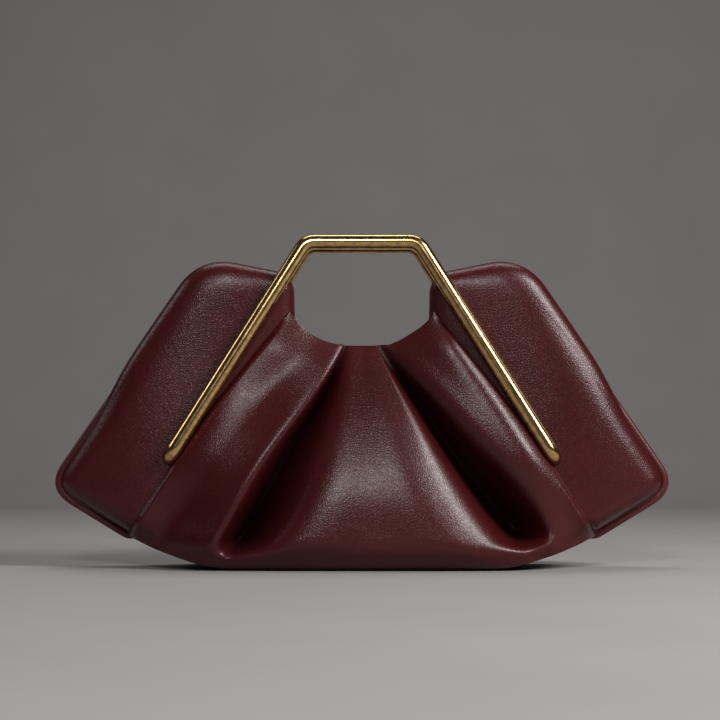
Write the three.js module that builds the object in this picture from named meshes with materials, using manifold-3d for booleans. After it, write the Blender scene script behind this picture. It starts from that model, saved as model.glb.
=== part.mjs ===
// A soft clutch handbag of smooth leather. Front and back each have a centre panel between two deep pleats,
// and two padded wings. The centre panel and pleats are one folded surface, cut along its two valleys.
// There is piping in the side seams, a flat base, and two bent tube handles whose legs lie over the wings.
// Millimetres, +Z up, +X to the right. The front faces -Y and the origin is at the middle of the base.
import * as THREE from 'three';
import { mergeVertices } from 'three/addons/utils/BufferGeometryUtils.js';
import Module from 'manifold-3d';

const wasm = await Module();
wasm.setup();

// Walls and fits
const leather = 2.4;
const gap = 0.35;

// Outline from the front: each half of the bag, from the hand opening to the lower corner
const bodyHalf = 175.2;
const wingTop = 174;
const notchHalf = 41;
const notchTop = 166.5;
const topHalf = 94;
const cornerHeight = 45;
const rimCornerHeight = 146;
const rimLow = 127;
const footHalf = 133;
const footHeight = 15.6;
const baseFlatHalf = 80;
const baseTip = 84;
const footFull = 0.45;
const footNarrow = 0.56;
const shoulderDrop = 16;

// Depth from the middle plane to the leather's outer face
const mouthHalf = 4.5;
const rimDepth = 7.6;
const bellyDepth = 45;
const footDepth = 36;
const baseDepth = 30;
const wingPuff = 20;

// Edges of the wings
const wingRoll = 16;
const pipeDiameter = 5;
const wingLap = 9;
const pleatBow = 5.5;
const edgeTurn = 15;
const edgeTurnPower = 2.4;
const rimCurvePower = 3.1;
const keelCurvePower = 1.3;
const baseCurvePower = 4;

// Handles
const tube = 8.4;
const barHeight = 186;
const barHalf = 32;
const legFootHalf = 109.6;
const legFootHeight = 64;
const barBend = 9;
const legBend = 6.5;
const legAir = 3;
const barAir = 0.8;
const collarDiameter = 14;
const collarThickness = 2;
const collarGap = 0.9;

// Facets
const tubeSides = 12;
const pipeSides = 8;
const bendSteps = 4;
const outlineStep = 17;
const ridgeSteps = 8;

const colours = { leather: 0x43191c, piping: 0x3a1518, brass: 0xc39a5b };

const { lerp, clamp } = THREE.MathUtils;

// Where the fold tables below give their values: shares of the way down from the rim to the foot.
const levels = { rim: 0, high: 0.2, middle: 0.45, low: 0.75, foot: 1 };

// How far each fold lies from the middle of the panel, as a share of the panel's half width at that level.
// steps is the number of facets from the fold before it.
const foldAcross = [
  { fold: 'left edge', steps: 0, rim: -1, high: -1, middle: -1, low: -1, foot: -1 },
  { fold: 'left outer roll', steps: 2, rim: -0.8, high: -0.84, middle: -0.87, low: -0.89, foot: -0.91 },
  { fold: 'left roll', steps: 2, rim: -0.62, high: -0.66, middle: -0.72, low: -0.77, foot: -0.82 },
  { fold: 'left inner roll', steps: 2, rim: -0.42, high: -0.5, middle: -0.57, low: -0.64, foot: -0.7 },
  { fold: 'left fold', steps: 3, rim: -0.25, high: -0.385, middle: -0.5, low: -0.585, foot: -0.65 },
  { fold: 'left valley', steps: 2, rim: -0.245, high: -0.34, middle: -0.44, low: -0.505, foot: -0.6 },
  { fold: 'left ridge', steps: 3, rim: -0.17, high: -0.23, middle: -0.3, low: -0.37, foot: -0.5 },
  { fold: 'centre', steps: 3, rim: 0, high: 0, middle: 0, low: 0, foot: 0 },
  { fold: 'right ridge', steps: 3, rim: 0.14, high: 0.26, middle: 0.34, low: 0.45, foot: 0.64 },
  { fold: 'right fold', steps: 3, rim: 0.2, high: 0.345, middle: 0.465, low: 0.57, foot: 0.7 },
  { fold: 'right valley', steps: 2, rim: 0.225, high: 0.405, middle: 0.52, low: 0.645, foot: 0.745 },
  { fold: 'right slope', steps: 3, rim: 0.31, high: 0.5, middle: 0.63, low: 0.78, foot: 0.79 },
  { fold: 'right inner roll', steps: 2, rim: 0.45, high: 0.6, middle: 0.72, low: 0.84, foot: 0.835 },
  { fold: 'right outer roll', steps: 3, rim: 0.8, high: 0.84, middle: 0.87, low: 0.915, foot: 0.92 },
  { fold: 'right edge', steps: 2, rim: 1, high: 1, middle: 1, low: 1, foot: 1 },
];

// How far each fold stands out, as a share of the side profile at that level. The edges follow the wings.
const foldDepth = [
  { fold: 'left edge', rim: 0, high: 0, middle: 0, low: 0, foot: 0 },
  { fold: 'left outer roll', rim: 1.62, high: 0.98, middle: 0.82, low: 0.74, foot: 0.92 },
  { fold: 'left roll', rim: 1.52, high: 1.06, middle: 0.93, low: 0.85, foot: 0.92 },
  { fold: 'left inner roll', rim: 1.45, high: 1.12, middle: 1.0, low: 0.94, foot: 0.97 },
  { fold: 'left fold', rim: 1.3, high: 1.04, middle: 0.95, low: 0.91, foot: 0.96 },
  { fold: 'left valley', rim: 0.95, high: 0.62, middle: 0.48, low: 0.44, foot: 0.82 },
  { fold: 'left ridge', rim: 0.94, high: 0.86, middle: 0.88, low: 0.92, foot: 0.93 },
  { fold: 'centre', rim: 1, high: 1, middle: 1, low: 1, foot: 1 },
  { fold: 'right ridge', rim: 1.12, high: 1.1, middle: 1.06, low: 1.03, foot: 1 },
  { fold: 'right fold', rim: 1.15, high: 1.02, middle: 0.96, low: 0.92, foot: 0.97 },
  { fold: 'right valley', rim: 0.95, high: 0.55, middle: 0.42, low: 0.36, foot: 0.84 },
  { fold: 'right slope', rim: 1.05, high: 0.78, middle: 0.66, low: 0.6, foot: 0.87 },
  { fold: 'right inner roll', rim: 1.2, high: 0.95, middle: 0.86, low: 0.82, foot: 0.94 },
  { fold: 'right outer roll', rim: 1.62, high: 0.98, middle: 0.86, low: 0.78, foot: 0.92 },
  { fold: 'right edge', rim: 0, high: 0, middle: 0, low: 0, foot: 0 },
];

// Side profile of the panel, as shares of the way down and of the belly's depth.
const sideProfile = [
  { down: 0, depth: rimDepth / bellyDepth },
  { down: 0.2, depth: 0.45 },
  { down: 0.45, depth: 0.76 },
  { down: 0.7, depth: 0.965 },
  { down: 0.84, depth: 1 },
  { down: 0.94, depth: 0.955 },
  { down: 1, depth: footDepth / bellyDepth },
];

// Number of each fold's column of facets.
const foldColumn = {};
foldAcross.reduce((column, { fold, steps }) => {
  foldColumn[fold] = column + steps;
  return foldColumn[fold];
}, 0);

// Rows of facets down the panel.
const panelRows = [0, 0.05, 0.12, 0.2, 0.28, 0.36, 0.45, 0.54, 0.63, 0.72, 0.8, 0.87, 0.93, 0.97, 1];

// Puff of a wing's face, as shares of wingPuff, at shares of the way down beside the pleat.
const wingFace = [
  { down: 0, inner: 0.52, middle: 0.7, outer: 0.78 },
  { down: 0.35, inner: 0.76, middle: 0.84, outer: 0.74 },
  { down: 0.7, inner: 0.97, middle: 0.88, outer: 0.6 },
  { down: 1, inner: 0.95, middle: 0.7, outer: 0.46 },
];
const wingWidth = 48;

// The wing's ridge line, from which its face falls away: shares of the way down and of the wing's width.
const ridge = { from: 0.1, to: 0.9, out: 0.45 };

// Side seam: how far the leather tucks in behind the wing's lip, and how deep the lip stands.
const seamTuck = pipeDiameter + 7 * gap;
const lipDepth = 6.5;
const cornerOvershoot = 0.43;
const lowCornerRound = 17;
const notchRound = 10;
const crownRound = 24;
const shoulderRound = 25;
const footRound = 8;
const sideLean = (bodyHalf - topHalf + cornerOvershoot * lowCornerRound) / (wingTop - cornerHeight);
const sideAt = (height) => topHalf + (wingTop - height) * sideLean;
const notchFoot = rimCornerHeight - 1.2 * wingLap;
const shoulder = wingTop - shoulderDrop;
const pipeStart = wingTop * 0.66;
const pipeShown = wingTop * 0.5;
const keelHeight = footHeight + leather + 2 * gap;

// Corners of a wing's outline, from the notch by the hand opening round to the foot of the pleat. lip is how
// far the wing's lip lies inside the piping, as a share of its diameter. depth is the lip's depth and roll
// the radius of the roll behind it, as shares of lipDepth and wingRoll. mouth is 1 where the bag opens.
const wingCorners = [
  { across: notchHalf, up: notchFoot, round: 0, lip: 0, depth: 0.95, roll: 0.4, mouth: 1 },
  { across: notchHalf, up: notchTop, round: notchRound, lip: 0, depth: 0.95, roll: 0.5, mouth: 1 },
  { across: lerp(notchHalf, topHalf, 0.5), up: wingTop, round: crownRound, lip: 0, depth: 1, roll: 0.8,
    mouth: 1 },
  { across: topHalf, up: wingTop, round: shoulderRound, lip: 0, depth: 1, roll: 1, mouth: 0.9 },
  { across: sideAt(shoulder), up: shoulder, round: 0, lip: 0, depth: 1, roll: 1, mouth: 0 },
  { across: sideAt(pipeStart), up: pipeStart, round: 0, lip: 0.04, depth: 0.9, roll: 0.85, mouth: 0 },
  { across: sideAt(pipeShown), up: pipeShown, round: 0, lip: 0.6, depth: 0.65, roll: 0.6, mouth: 0 },
  { across: sideAt(cornerHeight), up: cornerHeight, round: lowCornerRound, lip: 0.86, depth: 0.52, roll: 0.42,
    mouth: 0 },
  { across: footHalf + gap * 6, up: keelHeight, round: footRound, lip: 0.86, depth: 0.52, roll: 0.45,
    mouth: 0 },
  { across: footHalf - wingLap, up: keelHeight, round: 0, lip: 0.86, depth: 0.52, roll: 0.45, mouth: 0 },
];

// Value of a table's column at a place between its rows, on a smooth curve through them.
function smoothColumn(rows, key, name, at) {
  const last = rows.length - 1;
  let i = 0;
  while (i < last - 1 && at > rows[i + 1][key]) {
    i += 1;
  }
  const slope = (k) => {
    const before = rows[Math.max(k - 1, 0)];
    const after = rows[Math.min(k + 1, last)];
    return (after[name] - before[name]) / (after[key] - before[key]);
  };
  const span = rows[i + 1][key] - rows[i][key];
  const u = clamp((at - rows[i][key]) / span, 0, 1);
  const ease = u * u * (3 - 2 * u);
  const bend = slope(i) * u * (1 - u) ** 2 - slope(i + 1) * u * u * (1 - u);
  return lerp(rows[i][name], rows[i + 1][name], ease) + span * bend;
}

// Value of one fold's row at a share of the way down the panel.
function foldValue(row, down) {
  const rows = Object.entries(levels).map(([level, at]) => ({ at, value: row[level] }));
  return smoothColumn(rows, 'at', 'value', down);
}

// The line where the side pleat's edge lies on the wing, and how far the line is from straight.
function pleatLine(down) {
  const across = lerp(notchHalf, footHalf, down) + pleatBow * 4 * down * (1 - down);
  return new THREE.Vector2(across, lerp(rimCornerHeight, footHeight, down));
}
const pleatChord = pleatLine(1).sub(pleatLine(0));
const pleatAlong = pleatChord.clone().normalize();
const pleatOut = new THREE.Vector2(-pleatAlong.y, pleatAlong.x);

// Depth of a wing's face before its edges roll back, at a place seen from the front.
function faceDepth(place) {
  const from = place.clone().sub(pleatLine(0));
  const down = clamp(from.dot(pleatAlong) / pleatChord.length(), 0, 1);
  const bow = pleatBow * 4 * down * (1 - down) * pleatOut.x;
  const out = clamp((from.dot(pleatOut) - bow) / wingWidth, -wingLap / wingWidth, 1);
  const puff = (name) => smoothColumn(wingFace, 'down', name, down);
  const w = Math.max(out, 0);
  const share = puff('inner') * (1 - w) * (1 - 2 * w) + puff('middle') * 4 * w * (1 - w)
    + puff('outer') * w * (2 * w - 1);
  return wingPuff * share + leather * 0.6 * Math.min(out, 0) * (wingWidth / wingLap);
}

// Points round the corners of an outline: straight runs in even steps, rounded corners as short arcs. Each
// point carries the values of its place between the corners.
function walkOutline(corners, step) {
  const names = ['lip', 'depth', 'roll', 'mouth'];
  const at = (i) => new THREE.Vector2(corners[i].across, corners[i].up);
  const mixed = (i, j, share) => Object.fromEntries(names.map((name) => [name, lerp(corners[i][name],
    corners[j][name], share)]));
  const last = corners.length - 1;
  const trims = corners.map((corner, i) => {
    if (i === 0 || i === last || corner.round === 0) {
      return 0;
    }
    const back = at(i - 1).sub(at(i));
    const on = at(i + 1).sub(at(i));
    const turn = Math.PI - back.angleTo(on);
    return Math.min(corner.round * Math.tan(turn / 2), 0.45 * back.length(), 0.45 * on.length());
  });
  const points = [];
  for (let i = 0; i <= last; i += 1) {
    if (trims[i] > 0) {
      const back = at(i - 1).sub(at(i));
      const on = at(i + 1).sub(at(i));
      const start = at(i).addScaledVector(back.clone().normalize(), trims[i]);
      const end = at(i).addScaledVector(on.clone().normalize(), trims[i]);
      const arc = new THREE.QuadraticBezierCurve(start, at(i), end);
      const arcSteps = trims[i] > 12 ? bendSteps : 3;
      for (let k = 0; k <= arcSteps; k += 1) {
        const share = k / arcSteps;
        const values = share < 0.5
          ? mixed(i - 1, i, 1 - (trims[i] * (1 - 2 * share)) / back.length())
          : mixed(i, i + 1, (trims[i] * (2 * share - 1)) / on.length());
        points.push({ place: arc.getPoint(share), ...values });
      }
    } else {
      points.push({ place: at(i), ...mixed(i, i, 0) });
    }
    if (i < last) {
      const run = at(i + 1).sub(at(i));
      const free = run.length() - trims[i] - trims[i + 1];
      const count = Math.round(free / step);
      for (let k = 1; k < count; k += 1) {
        const share = (trims[i] + (free * k) / count) / run.length();
        points.push({ place: at(i).addScaledVector(run, share), ...mixed(i, i + 1, share) });
      }
    }
  }
  return points;
}
const wingOutline = walkOutline(wingCorners, outlineStep);
wingOutline.forEach((stop, i) => {
  const before = wingOutline[Math.max(i - 1, 0)].place;
  const after = wingOutline[Math.min(i + 1, wingOutline.length - 1)].place;
  const along = after.clone().sub(before).normalize();
  stop.inward = new THREE.Vector2(along.y, -along.x);
});

// Depth of a wing's outer face with its rolled edge, at a place seen from the front.
function wingDepth(place) {
  let best = { distance: Infinity };
  for (let i = 1; i < wingOutline.length; i += 1) {
    const from = wingOutline[i - 1];
    const to = wingOutline[i];
    const run = to.place.clone().sub(from.place);
    const share = clamp(place.clone().sub(from.place).dot(run) / run.lengthSq(), 0, 1);
    const distance = from.place.clone().addScaledVector(run, share).distanceTo(place);
    if (distance < best.distance) {
      const value = (name) => lerp(from[name], to[name], share);
      best = { distance, lip: value('lip'), depth: value('depth'), roll: value('roll') };
    }
  }
  const inside = clamp((best.distance - best.lip * pipeDiameter) / (best.roll * wingRoll), 0, 1);
  const lip = best.depth * lipDepth;
  return lerp(lip, faceDepth(place), Math.sqrt(1 - (1 - inside) ** 2));
}

// A closed mesh from its points and triangles, with its faces turned outwards.
function solidFrom(points, triangles) {
  let volume = 0;
  const cross = new THREE.Vector3();
  for (const [a, b, c] of triangles) {
    volume += cross.crossVectors(points[b], points[c]).dot(points[a]);
  }
  const faces = volume > 0 ? triangles : triangles.map(([a, b, c]) => [a, c, b]);
  const geometry = new THREE.BufferGeometry();
  geometry.setAttribute('position', new THREE.Float32BufferAttribute(points.flatMap((p) => p.toArray()), 3));
  geometry.setIndex(faces.flat());
  return geometry;
}

// The same solid reflected: side is -1 for the left half, face is -1 for the back.
function reflected(geometry, side, face) {
  const position = geometry.getAttribute('position');
  const points = Array.from({ length: position.count }, (_, i) => new THREE.Vector3(position.getX(i) * side,
    position.getY(i) * face, position.getZ(i)));
  const index = geometry.getIndex().array;
  const triangles = Array.from({ length: index.length / 3 }, (_, i) => [index[3 * i], index[3 * i + 1],
    index[3 * i + 2]]);
  return solidFrom(points, triangles);
}

// Two triangles for each cell of a grid of point numbers.
function gridTriangles(rows, columns, number, closed = false) {
  const triangles = [];
  for (let i = 0; i + 1 < rows; i += 1) {
    for (let j = 0; j + (closed ? 0 : 1) < columns; j += 1) {
      const next = (j + 1) % columns;
      triangles.push([number(i, j), number(i, next), number(i + 1, next)]);
      triangles.push([number(i, j), number(i + 1, next), number(i + 1, j)]);
    }
  }
  return triangles;
}

// Unit normal at each point of an open surface, the mean of the faces that meet there.
function surfaceNormals(points, triangles) {
  const normals = points.map(() => new THREE.Vector3());
  for (const [a, b, c] of triangles) {
    const face = points[b].clone().sub(points[a]).cross(points[c].clone().sub(points[a]));
    [a, b, c].forEach((k) => normals[k].add(face));
  }
  return normals.map((normal) => normal.normalize());
}

// A round bar along stations of a place and a radius, with its rings carried along the path without twist.
function sweptBar(stations, sides) {
  const tangents = stations.map((station, i) => {
    const before = stations.slice(0, i).reverse().find((s) => s.place.distanceTo(station.place) > gap / 10);
    const after = stations.slice(i + 1).find((s) => s.place.distanceTo(station.place) > gap / 10);
    const back = before ? station.place.clone().sub(before.place).normalize() : new THREE.Vector3();
    const on = after ? after.place.clone().sub(station.place).normalize() : new THREE.Vector3();
    return back.add(on).normalize();
  });
  const up = new THREE.Vector3(1, 0, 0);
  const points = [];
  stations.forEach((station, i) => {
    up.addScaledVector(tangents[i], -up.dot(tangents[i])).normalize();
    const side = tangents[i].clone().cross(up);
    for (let k = 0; k < sides; k += 1) {
      const angle = (2 * Math.PI * k) / sides;
      points.push(station.place.clone().addScaledVector(up, station.radius * Math.cos(angle))
        .addScaledVector(side, station.radius * Math.sin(angle)));
    }
  });
  const triangles = gridTriangles(stations.length, sides, (i, j) => i * sides + j, true);
  const end = (stations.length - 1) * sides;
  for (let k = 1; k + 1 < sides; k += 1) {
    triangles.push([0, k + 1, k]);
    triangles.push([end, end + k, end + k + 1]);
  }
  return solidFrom(points, triangles);
}

// The folded surface of the front. Rows run down from the rim to the foot and then under to the base seam.
function pleatedPanel() {
  const footAcross = (across) => {
    const beyond = Math.max(Math.abs(across) - footFull * footHalf, 0) / (footNarrow * footHalf);
    return Math.sqrt(Math.max(1 - beyond ** 2, 0));
  };
  const keel = (across) => footHeight * (Math.max(Math.abs(across) - baseFlatHalf, 0)
    / (footHalf - baseFlatHalf)) ** keelCurvePower;
  const rimHeight = (share) => lerp(rimLow, rimCornerHeight, Math.abs(share) ** rimCurvePower);
  const foldPoint = (index, down) => {
    const row = foldAcross[index];
    const half = pleatLine(down).x;
    const across = foldValue(row, down) * half;
    const under = THREE.MathUtils.smoothstep(down, 0.55, 1);
    const lift = gap + leather * under ** 6 * 0.5;
    const height = lerp(rimHeight(row.rim), keel(row.foot * footHalf) + lift, down);
    if (Math.abs(row.rim) === 1) {
      const above = clamp((height - footHeight - lift) / edgeTurn, 0, 1);
      const outer = faceDepth(pleatLine(down)) + gap + leather;
      return new THREE.Vector3(across, -lerp(gap + leather, outer, 1 - (1 - above) ** edgeTurnPower), height);
    }
    const profile = bellyDepth * smoothColumn(sideProfile, 'down', 'depth', down);
    const narrow = lerp(1, footAcross(row.foot * footHalf), under);
    return new THREE.Vector3(across, -profile * foldValue(foldDepth[index], down) * narrow, height);
  };
  const rows = panelRows.map((down) => {
    const folds = foldAcross.map((_, i) => foldPoint(i, down));
    const line = new THREE.CatmullRomCurve3(folds, false, 'centripetal');
    const row = [];
    foldAcross.forEach(({ steps }, i) => {
      for (let k = 1; k <= steps; k += 1) {
        row.push(line.getPoint((i - 1 + k / steps) / (foldAcross.length - 1)));
      }
    });
    return [line.getPoint(0), ...row];
  });
  const foot = rows[rows.length - 1];
  const seam = foot.map((point) => new THREE.Vector3(point.x, -baseEdge(point.x) - gap, keel(point.x) + gap));
  rows.push(seam);
  return rows;
}

// The columns of a panel between two folds, drawn back by half a gap from the seams where it was cut.
function panelPiece(rows, from, to) {
  const first = foldColumn[from];
  const last = foldColumn[to];
  const drawnBack = (row, end, next) => row[end].clone().lerp(row[next],
    gap / 2 / row[end].distanceTo(row[next]));
  return rows.map((row) => {
    const piece = row.slice(first, last + 1);
    if (first > 0) {
      piece[0] = drawnBack(row, first, first + 1);
    }
    if (last + 1 < row.length) {
      piece[piece.length - 1] = drawnBack(row, last, last - 1);
    }
    return piece;
  });
}

// Half depth of the base at a distance along it: a long oval with pointed ends.
function baseEdge(across) {
  const share = Math.min(Math.abs(across) / baseTip, 1);
  return baseDepth * (1 - share ** baseCurvePower);
}

// The inner face's point behind a point of the outer face, kept on its own side of the middle plane.
function innerPoint(point, normal, inward) {
  const inner = point.clone().addScaledVector(normal, inward);
  inner.y = Math.min(inner.y, -gap);
  return inner;
}

// A leather wall behind a grid of points, with its four edges closed and its last edge square to the base.
function leatherWall(rows) {
  const columns = rows[0].length;
  const outer = rows.flat();
  const number = (i, j) => i * columns + j;
  const face = gridTriangles(rows.length, columns, number);
  const normals = surfaceNormals(outer, face);
  const inward = normals[number(3, Math.floor(columns / 2))].y < 0 ? -leather : leather;
  const seam = number(rows.length - 1, 0);
  const square = new THREE.Vector3(0, 0, leather);
  const inner = outer.map((point, i) => (i < seam
    ? innerPoint(point, normals[i], inward)
    : point.clone().add(square)));
  const points = [...outer, ...inner];
  const back = outer.length;
  const triangles = [...face, ...face.map(([a, b, c]) => [a + back, c + back, b + back])];
  const loop = [];
  for (let j = 0; j + 1 < columns; j += 1) {
    loop.push(number(0, j));
  }
  for (let i = 0; i + 1 < rows.length; i += 1) {
    loop.push(number(i, columns - 1));
  }
  for (let j = columns - 1; j > 0; j -= 1) {
    loop.push(number(rows.length - 1, j));
  }
  for (let i = rows.length - 1; i > 0; i -= 1) {
    loop.push(number(i, 0));
  }
  loop.forEach((a, k) => {
    const b = loop[(k + 1) % loop.length];
    triangles.push([b, a, a + back], [b, a + back, b + back]);
  });
  return solidFrom(points, triangles);
}

// A front wing of the right half: rings of points from its seam over the rolled lip to the ridge of its face.
function wing() {
  const spine = [ridge.from, ridge.to].map((down) => pleatLine(0).addScaledVector(pleatChord, down)
    .addScaledVector(pleatOut, wingWidth * ridge.out));
  const run = spine[1].clone().sub(spine[0]);
  const hidden = [0.93, 0.8, 0.65, 0.5, 0.35, 0.2, 0.1].map((down) => ({
    place: pleatLine(down).addScaledVector(pleatOut, -wingLap),
    hidden: true,
  }));
  const loop = [...wingOutline, ...hidden];
  const marks = [];
  const rollParts = [0.1, 0.34, 0.65, 1];
  const faceParts = [0.4, 0.75];
  const rings = Array.from({ length: 3 + rollParts.length + faceParts.length }, () => []);
  for (const stop of loop) {
    const share = clamp(stop.place.clone().sub(spine[0]).dot(run) / run.lengthSq(), 0, 1);
    const mark = Math.round(share * ridgeSteps);
    const previous = marks.length > 0 ? marks[marks.length - 1] : 0;
    marks.push(stop.hidden ? Math.min(mark, previous) : Math.max(mark, previous));
    const target = spine[0].clone().addScaledVector(run, share);
    const way = target.clone().sub(stop.place);
    const reach = way.length();
    way.normalize();
    const square = stop.hidden ? 1 : Math.max(way.dot(stop.inward), 0.5);
    const at = (inset) => stop.place.clone().addScaledVector(way, inset / square);
    const put = (ring, place, depth) => rings[ring].push(new THREE.Vector3(place.x, -depth, place.y));
    const lip = stop.hidden ? 1.5 * gap : stop.lip * pipeDiameter;
    const roll = stop.hidden ? wingLap : stop.roll * wingRoll;
    if (stop.hidden) {
      put(0, at(0), wingDepth(at(0)));
      put(1, at(gap), wingDepth(at(gap)));
    } else {
      const seam = lerp(gap, mouthHalf, stop.mouth);
      const depth = stop.depth * lipDepth;
      const tuck = Math.max(seamTuck, lip + 2 * gap);
      put(0, at(tuck), seam);
      put(1, at(lerp(lip, tuck, 0.42)), lerp(seam, depth, 0.55));
    }
    put(2, at(lip), wingDepth(at(lip)));
    const left = reach * square - lip - roll;
    const onRoll = rollParts.map((part) => lip + roll * part);
    const onFace = faceParts.map((part) => lip + roll + left * part);
    [...onRoll, ...onFace].forEach((inset, k) => put(3 + k, at(inset), wingDepth(at(inset))));
  }
  const ridgeLine = Array.from({ length: ridgeSteps + 1 }, (_, i) => {
    const place = spine[0].clone().addScaledVector(run, i / ridgeSteps);
    return new THREE.Vector3(place.x, -wingDepth(place), place.y);
  });
  const count = loop.length;
  const outer = [...rings.flat(), ...ridgeLine];
  const face = gridTriangles(rings.length, count, (i, j) => i * count + j, true);
  const start = (rings.length - 1) * count;
  const middle = turnedLike(outer, face, ridgeTriangles(marks, start, start + count));
  const normals = surfaceNormals(outer, [...face, ...middle]);
  const inward = normals[start].y < 0 ? -leather : leather;
  const innerOf = (i) => innerPoint(outer[i], normals[i], inward);
  const kept = [0, 2, 4, 5, 6, 8];
  const inner = [
    ...kept.flatMap((ring) => rings[ring].map((_, j) => innerOf(ring * count + j))),
    ...ridgeLine.map((_, i) => innerOf(start + count + i)),
  ];
  const back = outer.length;
  const shift = back + (kept.length - 1) * count - start;
  const triangles = [...face, ...middle];
  gridTriangles(kept.length, count, (i, j) => back + i * count + j, true)
    .forEach(([a, b, c]) => triangles.push([a, c, b]));
  middle.forEach(([a, b, c]) => triangles.push([a + shift, c + shift, b + shift]));
  for (let j = 0; j < count; j += 1) {
    const next = (j + 1) % count;
    triangles.push([next, j, back + j], [next, back + j, back + next]);
  }
  return solidFrom([...outer, ...inner], triangles);
}

// Triangles between a ring of points and the ridge line inside it. Each ring point has the number of the
// ridge point that it looks to, which rises along one side of the ridge and falls along the other.
function ridgeTriangles(marks, ring, ridgeStart) {
  const triangles = [];
  marks.forEach((from, j) => {
    const next = (j + 1) % marks.length;
    const step = Math.sign(marks[next] - from);
    for (let mark = from; mark !== marks[next]; mark += step) {
      triangles.push([ring + j, ridgeStart + mark, ridgeStart + mark + step]);
    }
    triangles.push([ring + j, ring + next, ridgeStart + marks[next]]);
  });
  return triangles;
}

// Triangles turned so that they face the way the surface beside them does.
function turnedLike(points, face, triangles) {
  const facing = ([a, b, c]) => points[b].clone().sub(points[a]).cross(points[c].clone().sub(points[a])).y;
  const wanted = Math.sign(facing(face[face.length - 1]));
  return triangles.map(([a, b, c]) => (Math.sign(facing([a, b, c])) === wanted ? [a, b, c] : [a, c, b]));
}

// Centre line of the handle's foot, and the depths of the wing there and of the handle in front of it.
const legFoot = new THREE.Vector2(legFootHalf, legFootHeight);
const legFootDepth = wingDepth(legFoot) + legAir + tube / 2;
const barDepth = wingPuff * wingFace[0].inner + barAir + tube / 2;

// One handle in front of the bag: the bar, two legs, and feet that turn back through the wings into a collar.
function handle() {
  const lean = (legFootDepth - barDepth) / (barHeight - legFootHeight);
  const depthAt = (height) => barDepth + lean * (barHeight - height);
  const spot = (across, height) => new THREE.Vector3(across, -depthAt(height), height);
  const inside = wingDepth(legFoot) - leather - collarGap;
  const foot = (side, depth) => new THREE.Vector3(side * legFootHalf, -depth, legFootHeight);
  const corners = [
    { place: foot(-1, inside), bend: 0 },
    { place: spot(-legFootHalf, legFootHeight), bend: legBend },
    { place: spot(-barHalf, barHeight), bend: barBend },
    { place: spot(barHalf, barHeight), bend: barBend },
    { place: spot(legFootHalf, legFootHeight), bend: legBend },
    { place: foot(1, inside), bend: 0 },
  ];
  const stations = roundedPath(corners).map((place) => ({ place, radius: tube / 2 }));
  const collar = (side) => [
    { place: foot(side, inside - collarThickness), radius: collarDiameter / 2 },
    { place: foot(side, inside), radius: collarDiameter / 2 },
  ];
  return sweptBar([...collar(-1), ...stations, ...collar(1).reverse()], tubeSides);
}

// Points along a path of straight runs whose corners are rounded.
function roundedPath(corners) {
  const places = [];
  corners.forEach(({ place, bend }, i) => {
    if (bend === 0) {
      places.push(place);
      return;
    }
    const back = corners[i - 1].place.clone().sub(place).normalize();
    const on = corners[i + 1].place.clone().sub(place).normalize();
    const half = back.angleTo(on) / 2;
    const centre = place.clone().addScaledVector(back.clone().add(on).normalize(), bend / Math.sin(half));
    const from = place.clone().addScaledVector(back, bend / Math.tan(half)).sub(centre);
    const to = place.clone().addScaledVector(on, bend / Math.tan(half)).sub(centre);
    const axis = from.clone().cross(to).normalize();
    for (let k = 0; k <= bendSteps; k += 1) {
      const turned = from.clone().applyAxisAngle(axis, (from.angleTo(to) * k) / bendSteps);
      places.push(centre.clone().add(turned));
    }
  });
  return places;
}

// The piping in a side seam, from the end of the mouth round the corner to the foot of the pleat.
function piping() {
  const run = wingOutline.filter((stop) => stop.mouth < 0.3);
  const stations = run.map((stop) => {
    const place = stop.place.clone().addScaledVector(stop.inward, pipeDiameter / 2);
    return { place: new THREE.Vector3(place.x, 0, place.y), radius: pipeDiameter / 2 };
  });
  return sweptBar(stations, pipeSides);
}

// The flat base, cut to the seam edge of the pleated panels.
function base(seam) {
  const half = seam.filter((point) => baseEdge(point.x) > gap).map((point) => new THREE.Vector2(point.x,
    baseEdge(point.x)));
  const outline = [new THREE.Vector2(-baseTip, 0), ...half, new THREE.Vector2(baseTip, 0),
    ...half.map((point) => new THREE.Vector2(point.x, -point.y)).reverse()];
  return new THREE.ExtrudeGeometry(new THREE.Shape(outline), { depth: leather, bevelEnabled: false });
}

// A solid for cutting, from a closed geometry.
function manifoldOf(geometry) {
  const plain = geometry.index ? geometry.clone() : geometry;
  plain.deleteAttribute('normal');
  plain.deleteAttribute('uv');
  const merged = mergeVertices(plain);
  return new wasm.Manifold(new wasm.Mesh({
    numProp: 3,
    vertProperties: new Float32Array(merged.getAttribute('position').array),
    triVerts: new Uint32Array(merged.getIndex().array),
  }));
}

// A wing with the hole that the handle's leg passes through.
function drilledWing(geometry) {
  const drill = new THREE.CylinderGeometry(tube / 2 + gap, tube / 2 + gap, 2 * wingPuff, 16);
  drill.translate(legFootHalf, -wingDepth(legFoot), legFootHeight);
  const cut = manifoldOf(geometry).subtract(manifoldOf(drill)).getMesh();
  const drilled = new THREE.BufferGeometry();
  drilled.setAttribute('position', new THREE.BufferAttribute(cut.vertProperties, 3));
  drilled.setIndex(new THREE.BufferAttribute(cut.triVerts, 1));
  return drilled;
}

const finish = (color, roughness, metalness) => new THREE.MeshStandardMaterial({
  color, roughness, metalness,
});
const leatherMaterial = finish(colours.leather, 0.42, 0);
const pipingMaterial = finish(colours.piping, 0.45, 0);
const brassMaterial = finish(colours.brass, 0.2, 1);

const group = new THREE.Group();
function add(name, geometry, material) {
  const mesh = new THREE.Mesh(geometry, material);
  mesh.name = name;
  group.add(mesh);
}

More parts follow.
